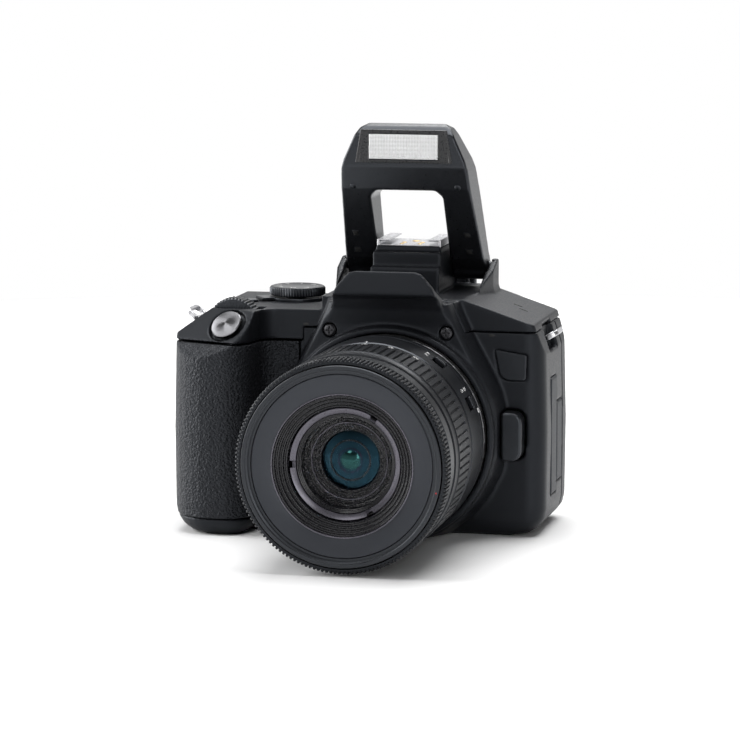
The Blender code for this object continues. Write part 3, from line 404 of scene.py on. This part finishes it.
def finish_nodes():
    for node, cell, rounds, paint, share in (
        ("front_cover", 0.5, 5, "body_plastic", 0.4),
        ("top_cover", 0.45, 5, "body_plastic", 0.45),
        ("rear_cover", 0.5, 5, "body_plastic", 0.4),
        ("bottom_cover", 0.5, 4, "body_plastic", 0.5),
        ("battery_door", 0.4, 4, "body_plastic", 1.0),
        ("grip_rubber", 0.4, 6, "grip_rubber", 0.6),
        ("flash_housing", 0.35, 5, "flash_plastic", 0.6),
        ("screen_panel", 0.4, 4, "body_plastic", 0.6),
        ("release_button", 0.2, 5, "smooth_plastic", 1.0),
        ("badge_plate", 0.2, 3, "smooth_plastic", 1.0),
        ("hot_shoe", 0.18, 3, "steel", 1.0),
        ("strap_lug_left", 0.2, 4, "steel", 1.0),
        ("strap_lug_right", 0.2, 4, "steel", 1.0),
        ("terminal_cover_front", 0.2, 5, "soft_rubber", 1.0),
        ("terminal_cover_rear", 0.2, 5, "soft_rubber", 1.0),
        ("eyecup", 0.3, 5, "soft_rubber", 1.0),
        ("power_switch", 0.15, 5, "smooth_plastic", 1.0),
        ("diopter_wheel", 0.12, 5, "smooth_plastic", 1.0),
        ("focus_mode_switch", 0.12, 5, "smooth_plastic", 1.0),
        ("stabiliser_switch", 0.12, 5, "smooth_plastic", 1.0),
        ("battery_latch", 0.15, 4, "smooth_plastic", 1.0),
        ("tripod_socket", 0.2, 4, "steel", 1.0),
        ("body_mount_ring", 0.3, 6, "mount_steel", 0.6),
        ("lens_bayonet", 0.3, 6, "mount_steel", 0.6),
        ("screen_hinge", 0.2, 4, "smooth_plastic", 1.0),
        ("front_screw_left", 0.08, 4, "dark_steel", 1.0),
        ("front_screw_right", 0.08, 4, "dark_steel", 1.0),
    ):
        soften(node, cell, rounds, paint, share)
    for name in (
        "iso",
        "set",
        "menu",
        "info",
        "live_view",
        "exposure_lock",
        "focus_point",
        "exposure",
        "playback",
        "erase",
    ):
        soften(name + "_button", 0.12, 6, "smooth_plastic")
    for node, paint in (
        ("mirror_box", "inner_black_and_hole_shade"),
        ("reflex_mirror", "mirror"),
        ("shutter_unit", "inner_black_and_hole_shade"),
        ("image_sensor", "screen"),
        ("main_board", "circuit"),
        ("pentamirror", "inner_black_and_hole_shade"),
        # The eyepiece and rear element take the opaque middle glass: its near-black body is painted shade
        # for the dark inside behind them.
        ("eyepiece_lens", "middle_glass"),
        ("battery", "inner_black_and_hole_shade"),
        ("screen_glass", "screen"),
        ("flash_tube", "mirror"),
        ("iris_unit", "inner_black_and_hole_shade"),
        ("rear_element", "middle_glass"),
        ("lock_pin", "steel"),
    ):
        NODES[node].data.materials.clear()
        NODES[node].data.materials.append(PAINT[paint])


# Lens


def ribs(count, depth, low, high, share, ease):
    """Raised bars between two heights of a ring; share is the part of a pitch that stands full."""

    def relief(angle, height, radius):
        if radius < LENS_RADIUS - 0.9 or not low <= height <= high:
            return 0
        phase = (angle * count / (2 * math.pi)) % 1.0
        away = abs(phase - 0.5) * 2
        step = (away - share) / ease
        return depth * min(max(step, 0), 1)

    return relief


def build_lens():
    crest = LENS_RADIUS - 0.02
    profile = behind_front((31.6, 5.8), (31.6, 0.7), (32.6, 0.75), (32.95, 0.95), (crest, 1.3))
    profile += behind_front((crest, 1.45), (crest, 5.3), (crest, 5.5), (32.9, 5.8))
    teeth = 156
    knurl = ribs(teeth, 0.6, LENS_FRONT + 0.72, LENS_FRONT + 5.35, share=0.45, ease=0.25)
    focus = lathe("focus_ring_knurl", profile, "ring_rubber", steps=teeth * 8, relief=knurl)
    give(focus, "focus", "rubber", "focus_ring")

    front = ZOOM_FRONT + 0.05
    rear = ZOOM_REAR - 0.05
    bar_front = ZOOM_FRONT + 4.6
    bar_rear = ZOOM_REAR - 5.0
    profile = [(31.6, rear), (31.6, front), (crest - 0.9, front), (crest - 0.5, front + 0.3)]
    profile += [(crest - 0.4, bar_front - 0.9), (crest - 0.25, bar_front - 0.6)]
    profile += [(crest - 0.02, bar_front - 0.4), (crest, bar_front - 0.2), (crest, bar_front)]
    profile += [(crest, bar_rear), (crest, bar_rear + 0.25)]
    profile += [(crest - 0.1, bar_rear + 0.5), (crest - 0.35, bar_rear + 0.6)]
    profile += [(crest - 0.4, bar_rear + 0.9), (crest - 0.4, rear - 0.4), (crest - 0.7, rear)]
    count = 84
    bars = ribs(count, 0.75, bar_front - 0.01, bar_rear + 0.01, share=0.66, ease=0.12)
    zoom = lathe("zoom_ring_ribs", profile, "ring_rubber", steps=count * 16, relief=bars)
    give(zoom, "zoom", "rubber", "zoom_ring")

    outer = LENS_RADIUS - 0.2
    profile = [
        (14, FLANGE_Y - 2.3),
        (outer - 0.9, FLANGE_Y - 2.3),
        (outer - 0.25, FLANGE_Y - 2.55),
        (outer, FLANGE_Y - 3.2),
        (outer, FLANGE_Y - 6.0),
        (outer - 0.12, FLANGE_Y - 6.1),
        (outer - 0.12, FLANGE_Y - 6.4),
        (outer, FLANGE_Y - 6.5),
        (outer, ZOOM_REAR + 0.75),
        (outer - 0.3, ZOOM_REAR + 0.35),
        (31.2, ZOOM_REAR + 0.35),
        (31.2, ZOOM_FRONT + 2.5),
        (30.2, ZOOM_FRONT + 2.5),
        (30.2, FLANGE_Y - 6),
        (14, FLANGE_Y - 6),
    ]
    barrel = lathe("lens_barrel_shell", profile, "smooth_plastic")
    middle = (FLANGE_Y + ZOOM_REAR) / 2 - 0.5
    for degrees in (52, 24):
        where = around_lens(degrees, middle, outer - 1.35)
        tool = tile("slot_tool", 2.2, 3.95, 4, 0.4, "smooth_plastic", where, edge=0.05)
        change = barrel.modifiers.new("slot", "BOOLEAN")
        change.object = tool
        change.operation = "DIFFERENCE"
        change.solver = "EXACT"
        bpy.context.view_layer.update()
        graph = bpy.context.evaluated_depsgraph_get()
        barrel.data = bpy.data.meshes.new_from_object(barrel.evaluated_get(graph))
        barrel.modifiers.clear()
        bpy.data.objects.remove(tool)
    barrel.data.shade_smooth()
    barrel.data.set_sharp_from_angle(angle=math.radians(30))
    give(barrel, "body", "body_plastic", "lens_barrel")
    build_lens_front()
    build_lens_marks(middle, outer)


def build_lens_front():
    front = LENS_FRONT
    skirt = ZOOM_FRONT - 0.5
    head = LENS_RADIUS - 0.85
    outside = [
        (28.4, FLANGE_Y - 26),
        (29.8, FLANGE_Y - 26),
        (29.8, skirt),
        (head - 0.4, skirt),
        (head, skirt - 0.4),
        (head, front + 9.6),
        (head - 0.25, front + 9.4),
        (head - 0.25, front + 8.9),
        (head, front + 8.7),
        (head, front + 6.6),
        (head - 0.4, front + 6.2),
        (31.2, front + 6.2),
        (31.2, front + 0.3),
        (31.0, front + 0.02),
        (30.0, front + 0.02),
        (29.75, front + 0.25),
    ]
    threads = []
    pitch = 0.26
    for k in range(5):
        depth = front + 0.4 + pitch * k
        threads += [(29.75, depth), (29.42, depth + 0.13)]
    bowl = [(29.4, front + 1.75), (28.5, front + 1.8)]
    section = outside + threads + bowl + [(28.4, front + 2.6)]
    shell = lathe("lens_head", section, "lens_plastic", sharp=28)
    give(shell, "lens_front", "body_plastic", "inner_barrel")

    face = behind_front((28.35, 4), (28.35, 1.85), (28.1, 1.7), (22.2, 2.15), (22.0, 2.3), (22.0, 4))
    plate = lathe("name_ring", face, "name_plastic")
    give(plate, "lens_front", "body_plastic")
    lip = behind_front((22.3, 2.4), (22.28, 2.1), (22.12, 1.98), (21.9, 2.06), (21.82, 2.3))
    lip += behind_front((21.82, 2.6), (22.3, 2.6))
    give(lathe("name_ring_lip", lip, "bright_ring", sharp=60), "lens_front", "inner_plastic")

    step = ((0, 0), (0.12, -0.28), (0.36, -0.40), (0.62, -0.28), (0.76, 0), (0.80, 0.92))
    mouth = 21.9
    steps = stepped(step, mouth, front + 2.75, count=4, inwards=1.12, rearwards=0.94)
    wall = behind_front((steps[-1][0], 8.6), (mouth, 8.6))
    baffle = lathe("baffle_steps", steps + wall, "baffle", sharp=50)
    give(baffle, "lens_front", "inner_plastic")

    ring = behind_front((17.4, 7.5), (17.4, 6.5), (17.2, 6.35), (15.8, 6.95), (15.6, 7.15))
    ring += behind_front((15.6, 9), (17.4, 9))

    def notches(angle, height, radius):
        if radius < 17.1:
            return 0
        near = min(abs((math.degrees(angle) - spot + 180) % 360 - 180) for spot in (178, 62, 302))
        return 0.9 if near < 3.2 else 0

    bright = lathe("retaining_ring", ring, "bright_ring", relief=notches, steps=360)
    give(bright, "lens_front", "inner_plastic")

    step = ((0, 0), (0.1, -0.08), (0.3, 0), (0.34, 0.5))
    mouth = 15.4
    inner = stepped(step, mouth, front + 7.8, count=3, inwards=0.36, rearwards=0.5)
    inner += behind_front((14.3, 12.4), (13.4, 12.4), (13.4, 20), (17.6, 20), (17.6, 11), (mouth, 11))
    seat = lathe("glass_seat", inner, "baffle", sharp=20)
    give(seat, "lens_front", "inner_plastic")

    def dome(name, radius, edge, rise, back, paint, node=None):
        outline = [(POLE, edge - rise)]
        for k in range(1, 25):
            share = k / 24
            outline.append((radius * share, edge - rise * (1 - share * share)))
        outline += [(radius, back), (POLE, back)]
        glass = lathe(name, outline, paint, steps=96)
        return give(glass, "lens_front", "glass", *([node] if node else []))

    dome("front_glass", 14.25, front + 10.1, 2.4, front + 12.0, "front_glass", "front_element")
    step = ((0, 0), (0.08, -0.2), (0.26, -0.28), (0.46, -0.2), (0.56, 0), (0.6, 0.48))
    mouth = 13.3
    funnel = stepped(step, mouth, front + 12.6, count=5, inwards=0.88, rearwards=0.5)
    funnel += behind_front((funnel[-1][0], 18), (mouth, 18))
    give(lathe("funnel_rings", funnel, "baffle", sharp=50), "lens_front", "inner_plastic")
    lip = behind_front((12.1, 12.9), (12.0, 12.72), (11.8, 12.72), (11.7, 12.9), (11.7, 13.3), (12.1, 13.3))
    give(lathe("glass_collar", lip, "bright_ring", sharp=20), "lens_front", "inner_plastic")
    # Opaque glass domes and hoop: their near-black bodies are painted shade for the dark lens inside, and
    # their reflections are real.
    dome("middle_glass", 8.9, front + 15.3, 1.3, front + 17.2, "middle_glass")
    hoop = behind_front((6.5, 14.75), (6.35, 14.3), (6.05, 14.22), (5.9, 14.6), (5.9, 15.4), (6.5, 15.4))
    give(lathe("inner_lip", hoop, "baffle", sharp=20), "lens_front", "inner_plastic")
    hoop = behind_front((3.9, 14.5), (3.8, 14.0), (3.6, 13.95), (3.5, 14.5))
    give(lathe("rim_glass", hoop, "rim_glass", sharp=40), "lens_front", "glass")
    dome("deep_glass", 3.5, front + 14.4, 0.9, front + 15.5, "deep_glass")


def build_lens_marks(middle, outer):
    crest = LENS_RADIUS - 0.42
    for text, degrees in (("55", 62), ("35", 77), ("24", 92), ("18", 107)):
        where = around_lens(degrees, ZOOM_REAR - 1.9, crest) @ Matrix.Rotation(math.pi, 4, "Z")
        give(label("scale_" + text, text, 2.1, "white_paint", where), "zoom", None)
    for k in range(4):
        where = around_lens(62 + 15 * k, ZOOM_REAR - 0.65, crest - 0.05)
        give(tile("scale_tick_%d" % k, 0.14, 0.35, 0.08, 0.05, "white_paint", where), "zoom", None)
    where = around_lens(92, ZOOM_REAR + 1.9, outer - 0.05)
    give(tile("zoom_index", 0.2, 0.9, 0.09, 0.08, "white_paint", where), "body", None)
    where = around_lens(18, FLANGE_Y - 4.4, outer - 0.05)
    give(tile("mount_index", 0.75, 0.75, 0.09, 0.1, "white_paint", where), "body", None)
    for name, text, degrees in (("drive_marks", "AF  MF", 60), ("steady_marks", "ON  OFF", 32)):
        where = around_lens(degrees, middle, outer - 0.02) @ Matrix.Rotation(math.radians(90), 4, "Z")
        give(label(name, text, 1.7, "white_paint", where), "body", None)
    angle = math.radians(-13)
    reach = 30.45
    spot = Vector((reach * math.cos(angle), LENS_FRONT + 0.09, AXIS_Z + reach * math.sin(angle)))
    dot = tile("hood_dot", 0.28, 0.28, 0.08, 0.27, "red_paint", pose(spot, (0, -1, 0)))
    give(dot, "lens_front", None)


# Flash


def build_flash():
    """Prismatic window with crossed ridges, bezel, bumpers, and side holes drawn as rims around black tiles
    of painted shade.
    """
    half_x = 11.3
    low = 120.0
    high = 127.9
    window_front = -15.28
    window_rear = -13.25
    ridge_depth = 0.16
    band_depth = 0.10
    ridge_cells = 4
    band_cells = 10
    bm = bmesh.new()
    rows = 6 * band_cells
    columns = 44 * ridge_cells
    grid = []
    for r in range(rows + 1):
        z = low + (high - low) * r / rows
        line = []
        for c in range(columns + 1):
            x = -half_x + 2 * half_x * c / columns
            ridge = abs(2 * (c % ridge_cells) - ridge_cells) / ridge_cells
            band = abs(2 * (r % band_cells) - band_cells) / band_cells
            y = window_front + ridge_depth * ridge + band_depth * band
            line.append(bm.verts.new((x * MM, y * MM, z * MM)))
        grid.append(line)
    for r in range(rows):
        for c in range(columns):
            bm.faces.new((grid[r][c], grid[r][c + 1], grid[r + 1][c + 1], grid[r + 1][c]))
    border = list(grid[0])
    border += [line[-1] for line in grid[1:]]
    border += grid[-1][-2::-1]
    border += [line[0] for line in grid[-2:0:-1]]
    rim = [bm.verts.new((v.co.x, window_rear * MM, v.co.z)) for v in border]
    for k in range(len(border)):
        j = (k + 1) % len(border)
        bm.faces.new((border[k], border[j], rim[j], rim[k]))
    bm.faces.new(rim)
    window = place_mesh(bm, "flash_prism", "flash_lens", 20)
    give(window, "flash", "glass", "flash_window")

    face = -14.3
    outer = [(-14.2, 129.4), (14.2, 129.4), (16.0, 118.7), (-16.0, 118.7)]
    inner = [(-11.65, 128.25), (11.65, 128.25), (11.65, 119.65), (-11.65, 119.65)]

    def between(share):
        corners = []
        for (x, z), (far_x, far_z) in zip(outer, inner):
            corners.append((x + (far_x - x) * share, z + (far_z - z) * share))
        return corners

    bm = bmesh.new()
    rings = []
    for share, y in (
        (0, face + 0.4),
        (0, face - 0.1),
        (0.06, face - 0.3),
        (0.2, face - 0.3),
        (0.3, face - 0.06),
        (0.94, face - 0.02),
        (1, face - 0.2),
        (1, face + 0.4),
    ):
        rings.append([bm.verts.new((x * MM, y * MM, z * MM)) for x, z in between(share)])
    for first, second in zip(rings, rings[1:] + rings[:1]):
        for k in range(4):
            j = (k + 1) % 4
            bm.faces.new((first[k], first[j], second[j], second[k]))
    bezel = place_mesh(bm, "flash_bezel", "bezel", 30)
    edge = bezel.modifiers.new("edge", "BEVEL")
    edge.width = 0.08 * MM
    edge.segments = 2
    give(bezel, "flash", "body_plastic")

    slope = Vector((0, -0.856, -0.517))
    arm_top_y = -11.5
    arm_top_z = 110
    arm_run = 14.5
    arm_drop = 24
    reach = 1.05
    proud = 0.3
    for side in (-1, 1):
        dome = [(POLE, -0.4), (reach, -0.4)]
        for degrees in range(0, 90, 15):
            turn = math.radians(degrees)
            dome.append((reach * math.cos(turn), proud * math.sin(turn)))
        dome.append((POLE, proud))
        spot = pose((side * 17.3, -11.78, 110.74), (0, -0.93, -0.35))
        give(lathe("flash_bumper_%d" % (side + 2), dome, "smooth_plastic", spot, 32), "flash", "rubber")
        for k, z in enumerate((94.4, 88.6)):
            y = arm_top_y + (arm_top_z - z) * arm_run / arm_drop
            hole = pose((side * 18.6, y, z), slope)
            tag = "%d_%d" % (side + 2, k)
            lip = tile("arm_lip_" + tag, 1.15, 1.15, 0.1, 0.2, "flash_plastic", hole, edge=0.05)
            give(lip, "flash", "body_plastic")
            # The hole is not cut: a thin black tile is painted shade inside the rim.
            dark = tile("arm_hole_shade_" + tag, 0.85, 0.85, 0.14, 0.1, "inner_black_and_hole_shade", hole)
            give(dark, "flash", "inner_plastic")


# Controls


def build_dials():
    def edge_teeth(count, depth, limit):
        def relief(angle, height, radius):
            if radius < limit:
                return 0
            phase = (angle * count / (2 * math.pi)) % 1.0
            return depth * (0.5 - 0.5 * math.cos(2 * math.pi * phase))

        return relief

    base = (BODY_LEFT + 34.9, 0, TOP_Z)
    radius = 9.2
    knob = [(POLE, -4), (2.9, -4), (2.9, 1.4), (radius - 0.4, 1.4), (radius, 1.7), (radius, 3.7)]
    knob += [(radius - 0.45, 4.25), (radius - 0.9, 4.38), (radius - 1.2, 4.3), (POLE, 4.3)]
    count = 60
    teeth = edge_teeth(count, 0.3, radius - 0.3)
    dial = lathe("mode_dial_knob", knob, "smooth_plastic", pose(base), count * 8, teeth)
    give(dial, "mode_dial", "body_plastic", "mode_dial")
    marks = ("M", "A", "S", "P", "1", "2", "3", "4")
    for k, text in enumerate(marks):
        angle = 2 * math.pi * k / len(marks)
        spot = pose((base[0], base[1], TOP_Z + 4.3)) @ Matrix.Rotation(angle, 4, "Z")
        where = spot @ Matrix.Translation(Vector((0, 6.1, 0)) * MM)
        give(label("dial_mark_" + text, text, 2.4, "white_paint", where), "mode_dial", None)
    axis = (FINGER_X, FRONT_Y + 1.5, TOP_Z - 9 + 3.4)
    wheel = [(1.2, -3), (8.3, -3), (8.95, -2.6), (8.95, 2.6), (8.3, 3), (1.2, 3)]
    count = 48
    teeth = edge_teeth(count, 0.5, 8.8)
    dial = lathe("main_dial_wheel", wheel, "smooth_plastic", pose(axis, (0, 1, 0)), count * 8, teeth)
    give(dial, "main_dial", "body_plastic", "main_dial")

    centre = (KEYS_X, BACK_Y, KEYS_Z)
    pad = [(4.35, -0.5), (8.3, -0.5), (8.35, 0.5), (8.2, 0.75), (7.9, 0.93), (7.6, 0.98)]
    pad += [(4.6, 0.98), (4.35, 0.8)]
    keys = lathe("cross_keys_pad", pad, "smooth_plastic", pose(centre, (0, 1, 0)), 96)
    give(keys, "cross_keys", "body_plastic", "cross_keys")
    for k in range(4):
        middle = turned_to_back(pose((KEYS_X, BACK_Y + 0.96, KEYS_Z)))
        spot = middle @ Matrix.Rotation(k * math.pi / 2, 4, "Z")
        arrow = [[(-0.6, 5.8, h), (0.6, 5.8, h), (0, 6.8, h)] for h in (0, 0.03)]
        give(loft("cross_arrow_%d" % k, arrow, "white_paint", spot), "cross_keys", None)

    normal = Vector((-0.25, -0.66, 0.70)).normalized()
    spot = Vector((FINGER_X, FRONT_Y - 10, TOP_Z - 4.5))
    stem = [(POLE, -5.9), (4.3, -5.9), (4.3, -5.0), (3.0, -5.0), (3.0, -0.4), (5.1, -0.4), (5.2, 0.5)]
    rim = 4.95
    brim = 0.85
    rise = 0.4
    stem.append((rim, brim))
    dish = []
    for k in range(1, 12):
        share = 1 - k / 12
        dish.append((rim * share, brim + rise * (1 - share**2)))
    cap = stem + dish + [(POLE, 1.25)]
    button = lathe("shutter_cap", cap, "spun_metal", Matrix.Identity(4), 128, sharp=40)
    button.matrix_world = pose(spot, normal)
    give(button, "shutter", "steel", "shutter_button")


# Small details


def build_details():
    # The sound holes are not cut: thin black tiles on the front are painted shade where the holes open.
    for name, x, z in (("sound_hole_shade_left", -29.1, 67.3), ("sound_hole_shade_right", 31.8, 65.3)):
        where = pose((x, FRONT_Y - 0.02, z), (0, -1, 0))
        hole = tile(name, 0.95, 0.42, 0.06, 0.4, "inner_black_and_hole_shade", where)
        give(hole, "body", "inner_plastic")
    shoulder = (0.32, 0, 0.95)
    shoulder_x = BODY_RIGHT - 10.8
    # The speaker slits are not cut: thin black tiles on the shoulder are painted shade where the slits
    # open.
    for k in range(4):
        x = 30.5 + 2.6 * k
        y = 6.0 - 4.4 * k
        z = TOP_Z - 0.8 - (x - shoulder_x) * shoulder[0] / shoulder[2]
        where = pose((x, y, min(z, TOP_Z + 0.6)), shoulder, math.radians(90))
        slit = tile("speaker_slit_shade_%d" % k, 1.5, 0.32, 0.1, 0.3, "inner_black_and_hole_shade", where)
        give(slit, "body", "inner_plastic")
    for k, (x, y) in enumerate(((0, 6), (-3, 1.5), (3, 1.5), (-3, -2.5), (3, -2.5))):
        reach = 1.3 if k == 0 else 0.8
        pad = [(POLE, -0.1), (reach, -0.1), (reach, 0.12), (reach - 0.2, 0.2), (POLE, 0.2)]
        give(lathe("shoe_contact_%d" % k, pad, "gold", pose((x, y, SHOE_Z)), 32), "body", "steel")
    for name, text, x, z in (
        ("mark_m", "MENU", 36.5, 67.0),
        ("mark_i", "INFO", 28.0, 67.0),
        ("mark_p", "+ / -", BODY_LEFT + 33.0, 55.0),
    ):
        where = turned_to_back(pose((x, BACK_Y + 0.01, z)))
        give(label(name, text, 1.9, "white_paint", where), "body", None)
    where = turned_to_back(pose((KEYS_X, BACK_Y + 0.92, KEYS_Z)))
    give(label("mark_set", "SET", 2.0, "white_paint", where), "set_button", None)


# Studio and view, in metres

FLOOR_RADIUS = 0.62
LIGHT_AIM = Vector((0, -0.03, 0.06))
SENSOR_MM = 36
PHOTO_PIXELS = 740
FOCAL_PIXELS = 4000
PIXELS_ASIDE = 16.57
PIXELS_UP = 30.4


def build_studio():
    bm = bmesh.new()
    bmesh.ops.create_circle(bm, cap_ends=True, segments=96, radius=FLOOR_RADIUS)
    mesh = bpy.data.meshes.new("floor")
    bm.to_mesh(mesh)
    bm.free()
    Finish("floor", (0.92, 0.92, 0.92), 0.65).vary(40.0, 0.01).grain(1.2, 0.01, 0.15)
    mesh.materials.append(PAINT["floor"])
    floor = bpy.data.objects.new("floor", mesh)
    bpy.context.scene.collection.objects.link(floor)
    for name, place, size, power in (
        ("overhead", (0.05, 0.2, 1.6), (1.5, 1.3), 34.0),
        ("left_box", (-0.85, -0.05, 0.35), (0.5, 0.8), 9.0),
        ("right_box", (0.52, -1.05, 0.40), (0.24, 0.7), 3.0),
        ("front_box", (-0.45, -1.3, 0.95), (0.5, 0.4), 3.2),
        ("back_box", (0.10, 0.95, 0.85), (0.8, 0.3), 6.0),
    ):
        light = bpy.data.lights.new(name, "AREA")
        light.shape = "RECTANGLE"
        light.size = size[0]
        light.size_y = size[1]
        light.energy = power
        lamp = bpy.data.objects.new(name, light)
        lamp.location = place
        aim = LIGHT_AIM - Vector(place)
        lamp.rotation_euler = aim.to_track_quat("-Z", "Y").to_euler()
        bpy.context.scene.collection.objects.link(lamp)
    world = bpy.data.worlds.new("studio")
    bpy.context.scene.world = world
    world.use_nodes = True
    tree = world.node_tree
    back = tree.nodes["Background"]
    back.inputs["Color"].default_value = (1, 1, 1, 1)
    back.inputs["Strength"].default_value = 0.04
    bright = tree.nodes.new("ShaderNodeBackground")
    bright.inputs["Color"].default_value = (1, 1, 1, 1)
    path = tree.nodes.new("ShaderNodeLightPath")
    mix = tree.nodes.new("ShaderNodeMixShader")
    seen = tree.nodes.new("ShaderNodeMath")
    seen.operation = "ADD"
    tree.links.new(path.outputs["Is Camera Ray"], seen.inputs[0])
    tree.links.new(path.outputs["Is Glossy Ray"], seen.inputs[1])
    plain = tree.nodes.new("ShaderNodeMath")
    plain.operation = "ADD"
    plain.use_clamp = True
    tree.links.new(seen.outputs[0], plain.inputs[0])
    tree.links.new(path.outputs["Is Transmission Ray"], plain.inputs[1])
    tree.links.new(plain.outputs[0], mix.inputs[0])
    direction = tree.nodes.new("ShaderNodeTexCoord")
    split = tree.nodes.new("ShaderNodeSeparateXYZ")
    tree.links.new(direction.outputs["Generated"], split.inputs[0])
    fade = tree.nodes.new("ShaderNodeMapRange")
    fade.inputs["From Min"].default_value = 0.10
    fade.inputs["From Max"].default_value = 0.40
    fade.inputs["To Min"].default_value = 1.0
    fade.inputs["To Max"].default_value = 0.10
    tree.links.new(split.outputs["Z"], fade.inputs["Value"])
    tree.links.new(fade.outputs[0], bright.inputs["Strength"])
    tree.links.new(back.outputs[0], mix.inputs[1])
    tree.links.new(bright.outputs[0], mix.inputs[2])
    tree.links.new(mix.outputs[0], tree.nodes["World Output"].inputs["Surface"])
    bpy.context.scene.view_settings.view_transform = "Standard"


def build_camera():
    turn = math.radians(12.25)
    rise = math.radians(8.35)
    target = Vector((0, -0.040, 0.045))
    distance = 1.2755
    back = Vector((math.sin(turn) * math.cos(rise), -math.cos(turn) * math.cos(rise), math.sin(rise)))
    right = Vector((math.cos(turn), math.sin(turn), 0))
    up = back.cross(right)
    aside = right * (PIXELS_ASIDE / FOCAL_PIXELS * distance)
    aim = target - aside + up * (PIXELS_UP / FOCAL_PIXELS * distance)
    data = bpy.data.cameras.new("view")
    data.sensor_width = SENSOR_MM
    data.lens = FOCAL_PIXELS * SENSOR_MM / PHOTO_PIXELS
    data.clip_start = 0.05
    camera = bpy.data.objects.new("view", data)
    camera.location = target + back * distance
    camera.rotation_euler = (aim - camera.location).to_track_quat("-Z", "Y").to_euler()
    bpy.context.scene.collection.objects.link(camera)
    bpy.context.scene.camera = camera


make_finishes()
finish_nodes()
build_lens()
build_flash()
build_dials()
build_details()
build_studio()
build_camera()
